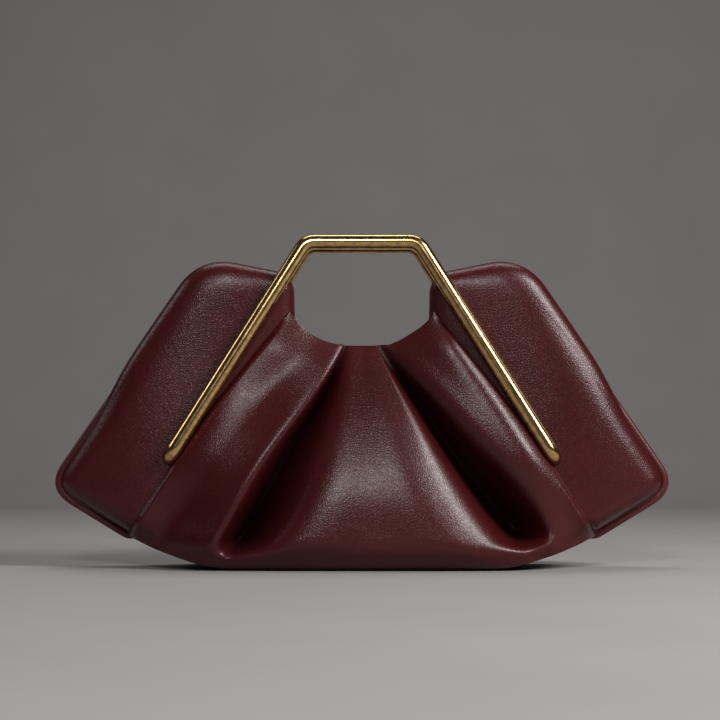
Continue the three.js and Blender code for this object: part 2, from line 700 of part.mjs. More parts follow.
const panelRowsOfPoints = pleatedPanel();
const centrePanel = leatherWall(panelPiece(panelRowsOfPoints, 'left valley', 'right valley'));
const pleats = {
  left: leatherWall(panelPiece(panelRowsOfPoints, 'left edge', 'left valley')),
  right: leatherWall(panelPiece(panelRowsOfPoints, 'right valley', 'right edge')),
};
const rightWing = drilledWing(wing());
const rightPiping = piping();
const frontHandle = handle();
const faces = { front: 1, back: -1 };
const sides = { left: -1, right: 1 };
for (const [face, turn] of Object.entries(faces)) {
  add(`centre_panel_${face}`, reflected(centrePanel, 1, turn), leatherMaterial);
  add(`handle_${face}`, reflected(frontHandle, 1, turn), brassMaterial);
  for (const [side, hand] of Object.entries(sides)) {
    add(`pleat_${face}_${side}`, reflected(pleats[side], 1, turn), leatherMaterial);
    add(`wing_${face}_${side}`, reflected(rightWing, hand, turn), leatherMaterial);
  }
}
for (const [side, hand] of Object.entries(sides)) {
  add(`piping_${side}`, reflected(rightPiping, hand, 1), pipingMaterial);
}
add('base_panel', base(panelRowsOfPoints[panelRowsOfPoints.length - 1]), leatherMaterial);

export default group;
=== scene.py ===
"""Looks of a pleated leather clutch with bent brass handles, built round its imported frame.

Every length in the dataclasses is in millimetres, in the frame's own axes: +X right, +Y back, +Z up.
"""
import logging
import math
from dataclasses import dataclass
from enum import Enum

import bmesh
import bpy
import numpy as np
from mathutils import Matrix


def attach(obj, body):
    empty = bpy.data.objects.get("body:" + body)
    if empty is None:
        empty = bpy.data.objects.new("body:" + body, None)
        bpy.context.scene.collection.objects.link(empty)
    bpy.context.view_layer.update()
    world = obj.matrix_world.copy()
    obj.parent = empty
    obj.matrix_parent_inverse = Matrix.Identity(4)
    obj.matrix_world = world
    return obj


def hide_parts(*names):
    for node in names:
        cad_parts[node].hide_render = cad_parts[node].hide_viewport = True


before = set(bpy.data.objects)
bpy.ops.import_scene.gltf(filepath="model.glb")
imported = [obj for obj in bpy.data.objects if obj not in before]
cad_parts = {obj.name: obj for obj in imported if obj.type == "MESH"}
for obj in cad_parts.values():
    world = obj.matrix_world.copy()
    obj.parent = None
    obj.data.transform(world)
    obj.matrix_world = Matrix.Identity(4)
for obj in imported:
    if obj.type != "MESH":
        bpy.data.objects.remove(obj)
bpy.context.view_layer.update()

MM = 0.001
LOG = logging.getLogger("clutch")


class Face(Enum):
    """The bag's two faces, with the sign of their depth along Y."""

    FRONT = -1
    BACK = 1


class Side(Enum):
    """The bag's two ends, with the sign of their place along X."""

    LEFT = -1
    RIGHT = 1


@dataclass(frozen=True)
class Outline:
    """Sizes of the whole bag that its pieces share."""

    leather: float = 2.4
    gap: float = 0.35
    body_half: float = 175.2
    wing_top: float = 174.0
    notch_half: float = 41.0
    notch_top: float = 166.5
    top_half: float = 94.0
    corner_height: float = 45.0
    rim_corner: float = 146.0
    rim_low: float = 127.0
    foot_half: float = 133.0
    foot_height: float = 15.6
    base_half: float = 80.0
    mouth_half: float = 4.5
    belly: float = 45.0
    base_depth: float = 30.0
    wing_puff: float = 20.0
    wing_roll: float = 16.0
    wing_width: float = 48.0
    wing_lap: float = 9.0
    pipe: float = 5.0
    pleat_bow: float = 5.5
    edge_turn: float = 15.0
    lip_depth: float = 6.5
    crown: float = 176.6
    shoulder: float = 138.0
    shoulder_round: float = 31.0
    corner_round: float = 17.0
    corner_overshoot: float = 0.43

    @property
    def keel(self) -> float:
        """Height of the piping's lowest stretch, just above the pleat's foot."""
        return self.foot_height + self.leather + 2 * self.gap

    def side_at(self, height: float) -> float:
        """How far out the straight side lies at a height: a line through the top and lower corners."""
        drop = self.wing_top - self.corner_height
        run = self.body_half - self.top_half + self.corner_overshoot * self.corner_round
        return self.top_half + (self.wing_top - height) * run / drop


BAG = Outline()


def spline_matrix(knots: np.ndarray, at: np.ndarray) -> np.ndarray:
    """Weights that carry values at the knots onto a natural cubic curve.

    The second derivatives solve the usual three-term system with zero ends, so each value on the curve is a fixed
    mix of the values at the knots.

    Args:
        knots: increasing places of the known values.
        at: places where the curve is wanted.

    Returns:
        One row of weights for each wanted place.
    """
    n = len(knots)
    step = np.diff(knots)
    left = np.zeros((n, n))
    right = np.zeros((n, n))
    left[0, 0] = left[-1, -1] = 1.0
    inner = np.arange(1, n - 1)
    left[inner, inner - 1] = step[:-1]
    left[inner, inner] = 2 * (step[:-1] + step[1:])
    left[inner, inner + 1] = step[1:]
    right[inner, inner - 1] = 6 / step[:-1]
    right[inner, inner] = -6 / step[:-1] - 6 / step[1:]
    right[inner, inner + 1] = 6 / step[1:]
    bend = np.linalg.solve(left, right)
    cell = np.clip(np.searchsorted(knots, at, side="right") - 1, 0, n - 2)
    b = (at - knots[cell]) / step[cell]
    a = 1 - b
    unit = np.eye(n)
    square = (step[cell] ** 2 / 6)[:, None]
    straight = a[:, None] * unit[cell] + b[:, None] * unit[cell + 1]
    curved = (a ** 3 - a)[:, None] * bend[cell] + (b ** 3 - b)[:, None] * bend[cell + 1]
    return straight + curved * square


def lerp(a: np.ndarray, b: np.ndarray, share: np.ndarray) -> np.ndarray:
    """Straight mix of two values."""
    return a + (b - a) * share


def smoothstep(x: np.ndarray, low: float, high: float) -> np.ndarray:
    """Ease from 0 at low to 1 at high, 3u^2 - 2u^3."""
    u = np.clip((x - low) / (high - low), 0, 1)
    return u * u * (3 - 2 * u)


def blurred(values: np.ndarray, times: int) -> np.ndarray:
    """Each value mixed with its neighbours along the first axis, several times; the ends stay."""
    out = values.astype(float).copy()
    for _ in range(times):
        out[1:-1] = 0.25 * out[:-2] + 0.5 * out[1:-1] + 0.25 * out[2:]
    return out


def grid_faces(rows: int, columns: int, wrap: bool) -> np.ndarray:
    """Quads of a grid of points numbered row by row; wrap joins the last column to the first."""
    i, j = np.meshgrid(np.arange(rows - 1), np.arange(columns if wrap else columns - 1), indexing="ij")
    following = (j + 1) % columns
    quads = [i * columns + j, i * columns + following, (i + 1) * columns + following, (i + 1) * columns + j]
    return np.stack(quads, axis=-1).reshape(-1, 4)


def make_object(name: str, points: np.ndarray, quads: np.ndarray, flip: bool) -> bpy.types.Object:
    """Puts points and quads into a smooth-shaded mesh object at the origin.

    Args:
        name: the piece's name.
        points: places in millimetres, one row each.
        quads: four point numbers to a face.
        flip: turns every face over.

    Returns:
        The object, linked into the scene.
    """
    mesh = bpy.data.meshes.new(name)
    faces = quads[:, ::-1] if flip else quads
    mesh.vertices.add(len(points))
    mesh.vertices.foreach_set("co", (points * MM).astype(np.float32).ravel())
    mesh.loops.add(faces.size)
    mesh.loops.foreach_set("vertex_index", faces.astype(np.int32).ravel())
    mesh.polygons.add(len(faces))
    mesh.polygons.foreach_set("loop_start", np.arange(0, faces.size, 4, dtype=np.int32))
    mesh.polygons.foreach_set("loop_total", np.full(len(faces), 4, dtype=np.int32))
    mesh.update(calc_edges=True)
    mesh.polygons.foreach_set("use_smooth", np.ones(len(faces), dtype=bool))
    piece = bpy.data.objects.new(name, mesh)
    bpy.context.scene.collection.objects.link(piece)
    return piece


def pleat_line(down: np.ndarray) -> tuple[np.ndarray, np.ndarray]:
    """The side pleat's edge on the wing: a straight line from rim to foot that bows out by a parabola."""
    across = lerp(BAG.notch_half, BAG.foot_half, down) + BAG.pleat_bow * 4 * down * (1 - down)
    return across, lerp(BAG.rim_corner, BAG.foot_height, down)


@dataclass(frozen=True)
class WingForm:
    """The padded wing as a height over the plan seen from the front, for the right half."""

    face_down: tuple = (0.0, 0.35, 0.7, 1.0)
    face_inner: tuple = (0.52, 0.76, 0.97, 0.95)
    face_middle: tuple = (0.70, 0.84, 0.88, 0.70)
    face_outer: tuple = (0.78, 0.74, 0.60, 0.46)
    roll_ease: float = 1.45
    roll_power: float = 3.2
    place_softening: int = 4
    value_softening: int = 140

    def corners(self) -> np.ndarray:
        """Corners of the outline, from the hand opening over the shoulder and round to the pleat's foot.

        Returns:
            Rows of across, up and rounding radius, then the lip's width and depth and the roll behind it as shares
            of the piping, lip_depth and wing_roll, then mouth, which is 1 where the bag opens.
        """
        b = BAG
        rows = [
            (b.notch_half, b.rim_corner - 1.2 * b.wing_lap, 0, 0, 0.95, 0.4, 1),
            (b.notch_half, b.notch_top - 0.3, 11, 0, 0.95, 0.5, 1),
            (b.side_at(b.crown), b.crown, b.shoulder_round, 0, 1, 1, 0.7),
            (b.side_at(b.shoulder), b.shoulder, 0, 0, 1, 1, 0),
            (b.side_at(b.wing_top * 0.66), b.wing_top * 0.66, 0, 0.05, 0.9, 0.85, 0),
            (b.side_at(b.wing_top * 0.5), b.wing_top * 0.5, 0, 0.9, 0.56, 0.6, 0),
            (b.side_at(b.corner_height), b.corner_height, b.corner_round, 1.36, 0.42, 0.42, 0),
            (b.foot_half + 6 * b.gap, b.keel - 2.6, 8, 1.36, 0.42, 0.45, 0),
            (b.foot_half - b.wing_lap, b.keel - 2.0, 0, 1.34, 0.42, 0.45, 0),
        ]
        return np.array(rows, dtype=float)

    def outline(self, count: int = 340) -> np.ndarray:
        """The outline as evenly spaced points that carry their corner values.

        Corners with a radius become arcs drawn as parabolas between their tangent points, and the values are mixed
        along the way and then blurred so that no crease shows.

        Args:
            count: number of points.

        Returns:
            Rows of across, up, lip, depth, roll, mouth, and the inward normal's two parts.
        """
        rows = self.corners()
        places = rows[:, :2]
        runs = np.linalg.norm(np.diff(places, axis=0), axis=1)
        pieces = []
        trims = np.zeros(len(rows))
        for i in range(1, len(rows) - 1):
            if rows[i, 2] > 0:
                back = (places[i - 1] - places[i]) / runs[i - 1]
                on = (places[i + 1] - places[i]) / runs[i]
                turn = math.pi - math.acos(float(np.clip(back @ on, -1, 1)))
                trims[i] = min(rows[i, 2] * math.tan(turn / 2), 0.45 * runs[i - 1], 0.45 * runs[i])
        for i in range(len(rows)):
            if trims[i] > 0:
                back = (places[i - 1] - places[i]) / runs[i - 1]
                on = (places[i + 1] - places[i]) / runs[i]
                q = np.linspace(0, 1, 40)[:, None]
                start, end = places[i] + back * trims[i], places[i] + on * trims[i]
                arc = start * (1 - q) ** 2 + places[i] * 2 * q * (1 - q) + end * q ** 2
                before = lerp(rows[i, 3:], rows[i - 1, 3:], np.clip(1 - 2 * q, 0, 1) * trims[i] / runs[i - 1])
                after = lerp(rows[i, 3:], rows[i + 1, 3:], np.clip(2 * q - 1, 0, 1) * trims[i] / runs[i])
                pieces.append(np.hstack([arc, np.where(q < 0.5, before, after)]))
            else:
                pieces.append(np.hstack([places[i], rows[i, 3:]])[None, :])
        path = np.vstack(pieces)
        length = np.concatenate([[0], np.cumsum(np.linalg.norm(np.diff(path[:, :2], axis=0), axis=1))])
        keep = np.concatenate([[True], np.diff(length) > 1e-6])
        at = np.linspace(0, length[-1], count)
        even = np.stack([np.interp(at, length[keep], path[keep, k]) for k in range(path.shape[1])], axis=1)
        even[:, :2] = blurred(even[:, :2], self.place_softening)
        even[:, 2:] = blurred(even[:, 2:], self.value_softening)
        along = np.gradient(even[:, :2], axis=0)
        along /= np.linalg.norm(along, axis=1, keepdims=True)
        return np.hstack([even, np.stack([along[:, 1], -along[:, 0]], axis=1)])

    def face(self, across: np.ndarray, up: np.ndarray) -> np.ndarray:
        """Depth of the puffed face before its edges roll back.

        The plan is measured along the pleat's line and square to it. Along it the three columns of puff follow
        smooth curves, and across it the face is the parabola through the three.

        Args:
            across: places along X, right half.
            up: places along Z.

        Returns:
            Depths in millimetres.
        """
        start = np.array([BAG.notch_half, BAG.rim_corner])
        chord = np.array([BAG.foot_half, BAG.foot_height]) - start
        reach = np.linalg.norm(chord)
        along = chord / reach
        out = np.array([-along[1], along[0]])
        x, z = across - start[0], up - start[1]
        down = np.clip((x * along[0] + z * along[1]) / reach, 0, 1)
        bow = BAG.pleat_bow * 4 * down * (1 - down) * out[0]
        w_all = np.clip((x * out[0] + z * out[1] - bow) / BAG.wing_width, -BAG.wing_lap / BAG.wing_width, 1)
        w = np.maximum(w_all, 0)
        weights = spline_matrix(np.array(self.face_down), down.ravel())
        inner, middle, outer = (
            (weights @ np.array(column)).reshape(down.shape)
            for column in (self.face_inner, self.face_middle, self.face_outer)
        )
        share = inner * (1 - w) * (1 - 2 * w) + middle * 4 * w * (1 - w) + outer * w * (2 * w - 1)
        sink = BAG.leather * 0.6 * np.minimum(w_all, 0) * (BAG.wing_width / BAG.wing_lap)
        return BAG.wing_puff * share + sink

    def depth(self, across: np.ndarray, up: np.ndarray, edge: np.ndarray) -> np.ndarray:
        """Depth of the wing's outer face, with a roll inside its lip.

        The roll is the root of one less a power of the way still to go, a quarter ellipse where the power is 2.

        Args:
            across: places along X, right half.
            up: places along Z.
            edge: the outline, from outline().

        Returns:
            Depths in millimetres.
        """
        flat = np.stack([across.ravel(), up.ravel()], axis=1)
        inside = np.empty(len(flat))
        lip = np.empty(len(flat))
        for begin in range(0, len(flat), 4000):
            part = flat[begin:begin + 4000]
            away = part[:, None, :] - edge[None, :, :2]
            distance = np.linalg.norm(away, axis=2)
            near = np.argsort(distance, axis=1)[:, :2]
            rows = np.arange(len(part))
            a, b = edge[near[:, 0]], edge[near[:, 1]]
            run = b[:, :2] - a[:, :2]
            share = np.clip(((part - a[:, :2]) * run).sum(1) / np.maximum((run ** 2).sum(1), 1e-9), 0, 1)
            foot = a[:, :2] + run * share[:, None]
            exact = np.linalg.norm(part - foot, axis=1)
            values = lerp(a[:, 2:5], b[:, 2:5], share[:, None])
            reach = values[:, 2] * BAG.wing_roll * self.roll_ease
            inside[begin:begin + len(rows)] = (exact - values[:, 0] * BAG.pipe) / reach
            lip[begin:begin + len(rows)] = values[:, 1] * BAG.lip_depth
        u = np.clip(inside, 0, 1).reshape(across.shape)
        lip = lip.reshape(across.shape)
        rise = np.sqrt(np.maximum(1 - (1 - u) ** self.roll_power, 0))
        return lerp(lip, self.face(across, up), rise)


WING = WingForm()
EDGE = WING.outline()


def object_noise(tree: bpy.types.NodeTree, scale: float, detail: float, rough: float = 0.5) -> bpy.types.Node:
    """Noise over Object coordinates.

    Args:
        tree: the material's nodes.
        scale: how many cells there are in a metre.
        detail: number of octaves.
        rough: strength of each octave against the one before.

    Returns:
        The noise node.
    """
    coord = tree.nodes.new("ShaderNodeTexCoord")
    noise = tree.nodes.new("ShaderNodeTexNoise")
    noise.inputs["Scale"].default_value = scale
    noise.inputs["Detail"].default_value = detail
    noise.inputs["Roughness"].default_value = rough
    tree.links.new(coord.outputs["Object"], noise.inputs["Vector"])
    return noise


def ranged(tree: bpy.types.NodeTree, value: bpy.types.NodeSocket, source: tuple, target: tuple,
           eased: bool = False) -> bpy.types.NodeSocket:
    """A value carried from one range to another and held at both ends.

    Args:
        tree: the material's nodes.
        value: the socket that gives the value.
        source: low and high end of the value.
        target: what they become.
        eased: follows 3u^2 - 2u^3 in place of a straight line.

    Returns:
        The socket with the carried value.
    """
    carry = tree.nodes.new("ShaderNodeMapRange")
    if eased:
        carry.interpolation_type = "SMOOTHSTEP"
    carry.inputs["From Min"].default_value, carry.inputs["From Max"].default_value = source
    carry.inputs["To Min"].default_value, carry.inputs["To Max"].default_value = target
    tree.links.new(value, carry.inputs["Value"])
    return carry.outputs["Result"]


def blended(tree: bpy.types.NodeTree, first: object, second: tuple, share: bpy.types.NodeSocket,
            blend: str = "MIX") -> bpy.types.NodeSocket:
    """Two colours mixed by a share.

    Args:
        tree: the material's nodes.
        first: a colour, or the socket that gives it.
        second: the other colour.
        share: the socket with the share of the second colour.
        blend: how the second colour acts on the first.

    Returns:
        The socket with the mixed colour.
    """
    mix = tree.nodes.new("ShaderNodeMix")
    mix.data_type = "RGBA"
    mix.blend_type = blend
    if isinstance(first, tuple):
        mix.inputs["A"].default_value = (*first, 1)
    else:
        tree.links.new(first, mix.inputs["A"])
    mix.inputs["B"].default_value = (*second, 1)
    tree.links.new(share, mix.inputs["Factor"])
    return mix.outputs["Result"]


def scaled_sum(tree: bpy.types.NodeTree, value: bpy.types.NodeSocket, factor: float,
               added: bpy.types.NodeSocket) -> bpy.types.NodeSocket:
    """A value times a factor, plus another value."""
    total = tree.nodes.new("ShaderNodeMath")
    total.operation = "MULTIPLY_ADD"
    tree.links.new(value, total.inputs[0])
    total.inputs[1].default_value = factor
    tree.links.new(added, total.inputs[2])
    return total.outputs["Value"]


def bumped(tree: bpy.types.NodeTree, height: bpy.types.NodeSocket, strength: float,
           distance_mm: float) -> bpy.types.Node:
    """A bump node that tilts the surface by a height."""
    bump = tree.nodes.new("ShaderNodeBump")
    bump.inputs["Strength"].default_value = strength
    bump.inputs["Distance"].default_value = distance_mm * MM
    tree.links.new(height, bump.inputs["Height"])
    return bump


@dataclass(frozen=True)
class Leather:
    """Smooth dyed leather with a fine grain, and painted shade in the pleats' valleys: darker, duller and less shiny
    where the valley attribute is high.
    """

    name: str
    colour: tuple
    deep: tuple
    roughness: float = 0.285
    gloss_spread: tuple = (-0.05, 0.07)
    grain_mm: float = 1.25
    grain_depth_mm: float = 0.05
    grain_warp_mm: float = 0.9
    pore_share: float = 0.35
    crease_colour: tuple = (0.72, 0.68, 0.68)
    crease_share: float = 0.55
    wave_depth_mm: float = 0.4
    coat: float = 0.02
    coat_roughness: float = 0.25
    shine: float = 0.36
    # Painted shade in the pleats' valleys: a colour multiplied in, more roughness and less shine where the valley
    # attribute is high.
    fold_shade_colour: tuple = (0.1, 0.07, 0.07)
    fold_dull: float = 0.12
    fold_shine: float = 0.04

    def pebbles(self, tree: bpy.types.NodeTree) -> bpy.types.NodeSocket:
        """Height of the grain's cells, 0 in the creases between them and 1 on top, with their places warped."""
        coord = tree.nodes.new("ShaderNodeTexCoord")
        push = tree.nodes.new("ShaderNodeVectorMath")
        push.operation = "MULTIPLY_ADD"
        push.inputs[1].default_value = (self.grain_warp_mm * MM,) * 3
        tree.links.new(object_noise(tree, 420, 2).outputs["Color"], push.inputs[0])
        tree.links.new(coord.outputs["Object"], push.inputs[2])
        cells = tree.nodes.new("ShaderNodeTexVoronoi")
        cells.feature = "DISTANCE_TO_EDGE"
        cells.inputs["Scale"].default_value = 1 / (self.grain_mm * MM)
        tree.links.new(push.outputs["Vector"], cells.inputs["Vector"])
        return ranged(tree, cells.outputs["Distance"], (0, 0.3), (0, 1), eased=True)

    def build(self) -> bpy.types.Material:
        """The material: cells and pores of grain, slow drifts of tone and gloss, and painted shade that darkens and
        dulls the folds.
        """
        mat = bpy.data.materials.new(self.name)
        mat.use_nodes = True
        tree = mat.node_tree
        links = tree.links
        bsdf = tree.nodes["Principled BSDF"]
        # Painted shade: the panel's valley attribute darkens the colour and cuts the shine in the folds.
        attribute = tree.nodes.new("ShaderNodeAttribute")
        attribute.attribute_name = "fold_shade"
        fold_shade = attribute.outputs["Fac"]
        drift = object_noise(tree, 14, 4).outputs["Fac"]
        pebble = self.pebbles(tree)
        tone = blended(tree, self.deep, self.colour, ranged(tree, drift, (0.3, 0.7), (0, 1)))
        between = ranged(tree, pebble, (0, 1), (self.crease_share, 0))
        creased = blended(tree, tone, self.crease_colour, between, "MULTIPLY")
        links.new(blended(tree, creased, self.fold_shade_colour, fold_shade, "MULTIPLY"), bsdf.inputs["Base Color"])
        gloss = ranged(tree, drift, (0, 1), tuple(self.roughness + step for step in self.gloss_spread))
        links.new(scaled_sum(tree, fold_shade, self.fold_dull, gloss), bsdf.inputs["Roughness"])
        level = ranged(tree, fold_shade, (0, 1), (self.shine, self.shine * self.fold_shine))
        links.new(level, bsdf.inputs["Specular IOR Level"])
        wave = bumped(tree, object_noise(tree, 120, 2).outputs["Fac"], 0.14, self.wave_depth_mm)
        pores = object_noise(tree, 1500, 3).outputs["Fac"]
        grain = bumped(tree, scaled_sum(tree, pores, self.pore_share, pebble), 0.8, self.grain_depth_mm)
        links.new(wave.outputs["Normal"], grain.inputs["Normal"])
        links.new(grain.outputs["Normal"], bsdf.inputs["Normal"])
        bsdf.inputs["Coat Weight"].default_value = self.coat
        bsdf.inputs["Coat Roughness"].default_value = self.coat_roughness
        return mat


@dataclass(frozen=True)
class Brass:
    """Polished brass with faint wear."""

    name: str = "brass"
    colour: tuple = (0.74, 0.49, 0.215)
    dark: tuple = (0.36, 0.225, 0.085)
    roughness: float = 0.17
    gloss_spread: tuple = (-0.04, 0.08)
    hair_depth_mm: float = 0.08

    def build(self) -> bpy.types.Material:
        """The material: a metal whose gloss and tone drift, with fine hairlines."""
        mat = bpy.data.materials.new(self.name)
        mat.use_nodes = True
        tree = mat.node_tree
        bsdf = tree.nodes["Principled BSDF"]
        bsdf.inputs["Metallic"].default_value = 1
        smear = object_noise(tree, 90, 5).outputs["Fac"]
        gloss = ranged(tree, smear, (0, 1), tuple(self.roughness + step for step in self.gloss_spread))
        tree.links.new(gloss, bsdf.inputs["Roughness"])
        patina = object_noise(tree, 320, 6, 0.65).outputs["Fac"]
        tone = blended(tree, self.dark, self.colour, ranged(tree, patina, (0.3, 0.62), (0, 1)))
        tree.links.new(tone, bsdf.inputs["Base Color"])
        hair = bumped(tree, object_noise(tree, 650, 2).outputs["Fac"], 0.12, self.hair_depth_mm)
        tree.links.new(hair.outputs["Normal"], bsdf.inputs["Normal"])
        return mat


@dataclass
class Piece:
    """A finished piece: its name, the nodes it stands for, and its material."""

    name: str
    slot: str
    material: bpy.types.Material

    def finish(self, piece: bpy.types.Object, *nodes: str) -> None:
        """Dresses a piece and hangs it on the bag's one body.

        Args:
            piece: the mesh object.
            nodes: the nodes it stands for.
        """
        piece.data.materials.append(self.material)
        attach(piece, "root")
        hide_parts(*nodes)
        LOG.info("%s stands for %s with %d faces", piece.name, ", ".join(nodes), len(piece.data.polygons))

    def wall(self, piece: bpy.types.Object, thickness: float) -> None:
        """Gives an open surface its leather thickness behind it and a rounded cut edge."""
        solid = piece.modifiers.new("wall", "SOLIDIFY")
        solid.thickness = thickness * MM
        solid.offset = -1
        bevel = piece.modifiers.new("edge", "BEVEL")
        bevel.width = thickness * 0.42 * MM
        bevel.segments = 3
        bevel.limit_method = "ANGLE"
        bevel.angle_limit = math.radians(55)


@dataclass
class PleatedPanel(Piece):
    """The pleated panel of one face: folds that run from the rim to the foot, over a bellied profile.

    Each row of across and proud is one line that runs down the panel, from the left edge to the right, and its
    entries belong to the levels. across is the line's place as a share of the half width, and proud its depth as a
    share of the profile. Another table says how deep in a fold each line lies, which sets the painted shade in the
    valleys, and closes says how far each line comes together with its neighbours at the foot.
    """

    face: Face = Face.FRONT
    columns: int = 240
    rows: int = 150
    levels: tuple = (0.0, 0.2, 0.45, 0.75, 0.9, 1.0)
    across: tuple = (
        (-1, -1, -1, -1, -1, -1),
        (-0.8, -0.84, -0.87, -0.89, -0.9, -0.91),
        (-0.62, -0.68, -0.74, -0.78, -0.8, -0.82),
        (-0.42, -0.52, -0.62, -0.69, -0.715, -0.735),
        (-0.3, -0.42, -0.565, -0.645, -0.67, -0.69),
        (-0.25, -0.375, -0.52, -0.605, -0.635, -0.655),
        (-0.245, -0.335, -0.455, -0.535, -0.565, -0.585),
        (-0.17, -0.23, -0.3, -0.37, -0.44, -0.5),
        (0, 0, 0, 0, 0, 0),
        (0.08, 0.16, 0.21, 0.28, 0.38, 0.5),
        (0.15, 0.27, 0.34, 0.43, 0.53, 0.62),
        (0.2, 0.345, 0.465, 0.57, 0.64, 0.7),
        (0.225, 0.405, 0.52, 0.645, 0.71, 0.745),
        (0.31, 0.5, 0.63, 0.77, 0.79, 0.79),
        (0.45, 0.6, 0.72, 0.84, 0.845, 0.835),
        (0.85, 0.89, 0.915, 0.935, 0.935, 0.93),
        (1, 1, 1, 1, 1, 1),
    )
    proud: tuple = (
        (0, 0, 0, 0, 0, 0),
        (1.72, 0.95, 0.79, 0.71, 0.8, 0.9),
        (1.72, 1.1, 0.91, 0.82, 0.87, 0.92),
        (1.7, 1.24, 1.02, 0.92, 0.96, 0.98),
        (1.62, 1.26, 1.06, 0.97, 1.0, 1.0),
        (1.47, 1.13, 0.95, 0.88, 0.92, 0.99),
        (0.9, 0.5, 0.34, 0.27, 0.36, 0.94),
        (0.95, 0.84, 0.8, 0.82, 0.86, 0.96),
        (1, 1, 1, 1, 1, 1),
        (1.06, 1.04, 1.02, 1.01, 1.01, 1),
        (1.12, 1.02, 0.97, 0.94, 0.97, 1),
        (1.12, 0.9, 0.76, 0.7, 0.8, 0.99),
        (0.9, 0.4, 0.22, 0.16, 0.26, 0.95),
        (1.02, 0.6, 0.42, 0.36, 0.5, 0.95),
        (1.2, 1.0, 0.82, 0.75, 0.84, 0.95),
        (1.62, 1.1, 0.85, 0.77, 0.85, 0.92),
        (0, 0, 0, 0, 0, 0),
    )
    # Painted shade: each line's share of darkening in its valley, 1 at the bottom of a fold.
    valley_shade: tuple = (0, 0, 0, 0, 0, 0.1, 1, 0.12, 0, 0, 0, 0.1, 1, 0.55, 0, 0, 0)
    closes: tuple = (0, 0, 0, 0, 0.5, 1, 1, 1, 0.4, 0, 0.4, 1, 1, 1, 0.5, 0, 0)
    profile_down: tuple = (0, 0.2, 0.45, 0.7, 0.84, 0.94, 1)
    profile_depth: tuple = (0.169, 0.45, 0.76, 0.965, 1, 0.955, 0.8)
    tip_lift: float = 1.2
    row_spacing: float = 1.15
    closing: tuple = (0.87, 0.965)
    turning: tuple = (0.55, 1)
    keel_curve: float = 1.3
    rim_curve: float = 3.1
    base_curve: float = 4
    edge_curve: float = 2.4
    foot_full: float = 0.45
    foot_narrow: float = 0.56
    rim_valley_shade: float = 0.55
    softening: int = 13
    bead: float = 3.0
    bead_rise: float = 2.6
    bead_fall: float = 24.0

    def keel(self, across: np.ndarray) -> np.ndarray:
        """Height of the foot: flat in the middle, then rising to the ends as a power, with a last lift at the tip."""
        beyond = np.maximum(np.abs(across) - BAG.base_half, 0) / (BAG.foot_half - BAG.base_half)
        return BAG.foot_height * beyond ** self.keel_curve + self.tip_lift * beyond ** 4

    def surface(self) -> np.ndarray:
        """The outer face as a grid of places.

        Down the panel each fold's place and depth follow natural curves through the tables; across it another
        natural curve runs through the folds of each row. The depth is the side profile times the fold's share,
        drawn in towards the ends of the foot as a quarter ellipse.

        Returns:
            Rows by columns by four for the front: a place in millimetres, and how deep in a fold it lies, 0 to 1, which
                is the share of painted shade.
        """
        down = 1 - (1 - np.linspace(0, 1, self.rows)) ** self.row_spacing
        over = spline_matrix(np.array(self.levels), down)
        share = over @ np.array(self.across).T
        proud = over @ np.array(self.proud).T
        closing = smoothstep(down, *self.closing)[:, None]
        proud = lerp(proud, np.array(self.proud)[None, :, -1], closing * np.array(self.closes))
        half, _ = pleat_line(down)
        x = share * half[:, None]
        rim_share = np.array(self.across)[:, 0]
        foot_x = np.array(self.across)[:, -1] * BAG.foot_half
        under = smoothstep(down, *self.turning)[:, None]
        lift = BAG.gap + BAG.leather * under ** 6 * 0.5
        rim = lerp(BAG.rim_low, BAG.rim_corner, np.abs(rim_share) ** self.rim_curve)
        z = lerp(rim[None, :], self.keel(foot_x)[None, :] + lift, down[:, None])
        profile = spline_matrix(np.array(self.profile_down), down) @ np.array(self.profile_depth) * BAG.belly
        beyond = np.maximum(np.abs(foot_x) - self.foot_full * BAG.foot_half, 0) / (self.foot_narrow * BAG.foot_half)
        narrow = lerp(1.0, np.sqrt(np.maximum(1 - beyond ** 2, 0))[None, :], under)
        depth = profile[:, None] * proud * narrow
        ends = np.array(pleat_line(down))
        lying = WING.face(ends[0], ends[1]) + BAG.gap + BAG.leather
        for k in (0, -1):
            above = np.clip((z[:, k] - BAG.foot_height - lift[:, 0]) / BAG.edge_turn, 0, 1)
            depth[:, k] = lerp(BAG.gap + BAG.leather, lying, 1 - (1 - above) ** self.edge_curve)
        # Painted shade: the valley share, weaker at the rim and fading where the folds close at the foot.
        opening = self.rim_valley_shade + (1 - self.rim_valley_shade) * smoothstep(down, 0, 0.15)
        valley_shade = np.array(self.valley_shade)[None, :] * opening[:, None] * (1 - closing)
        points = np.stack([x, -depth, z, valley_shade], axis=2)
        gaps = np.linalg.norm(np.diff(points[:, :, :3], axis=1), axis=2).mean(0)
        place = np.concatenate([[0], np.cumsum(np.sqrt(gaps))])
        weights = spline_matrix(place, np.linspace(0, place[-1], self.columns))
        skin = blurred(np.einsum("ck,rkd->crd", weights, points), self.softening).swapaxes(0, 1)
        skin = self.beaded(skin)
        foot = skin[-1]
        to_tip = np.minimum(np.abs(foot[:, 0]) / (BAG.base_half * 1.05), 1)
        seam_depth = BAG.base_depth * (1 - to_tip ** self.base_curve) + BAG.gap
        seam = np.stack([foot[:, 0], -seam_depth, self.keel(foot[:, 0]) + BAG.gap, np.zeros(len(foot))], 1)
        turn = np.linspace(0, 1, 7)[1:, None, None]
        return np.concatenate([skin, lerp(foot[None], seam[None], turn)])

